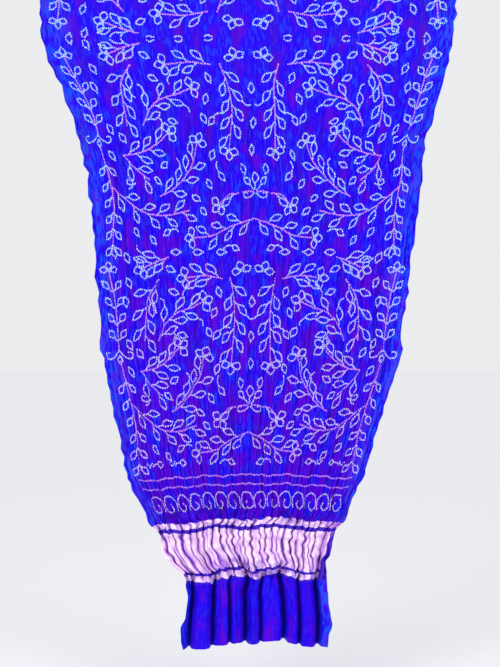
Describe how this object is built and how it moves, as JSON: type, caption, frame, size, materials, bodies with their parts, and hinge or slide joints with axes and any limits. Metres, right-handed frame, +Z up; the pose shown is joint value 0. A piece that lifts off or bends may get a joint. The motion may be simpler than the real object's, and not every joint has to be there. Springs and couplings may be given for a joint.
{
  "type": "bandhani dupatta",
  "caption": "Long rectangular tie-dyed silk stole with a woven metal-thread band near each end, hanging by its top edge, crimped and gathered towards the lower end.",
  "frame": {"origin": "middle of the top edge, where the hanging cloth is held", "axes": "+Z up along the cloth's length, +X across it to the right of its front, +Y away from its front"},
  "size_m": [0.8801, 0.0651, 2.513],
  "materials": {
    "satin": "royal blue silk satin, tie-dyed",
    "zari": "pale pink metal thread woven into the satin"
  },
  "bodies": {
    "root": {"lower_tail": "satin", "lower_outer_stripe": "zari", "lower_zari_band": "zari", "lower_inner_stripe": "zari", "lower_border": "satin", "field": "satin", "top_border": "satin", "top_inner_stripe": "zari", "top_zari_band": "zari", "top_outer_stripe": "zari", "top_tail": "satin"}
  },
  "joints": []
}
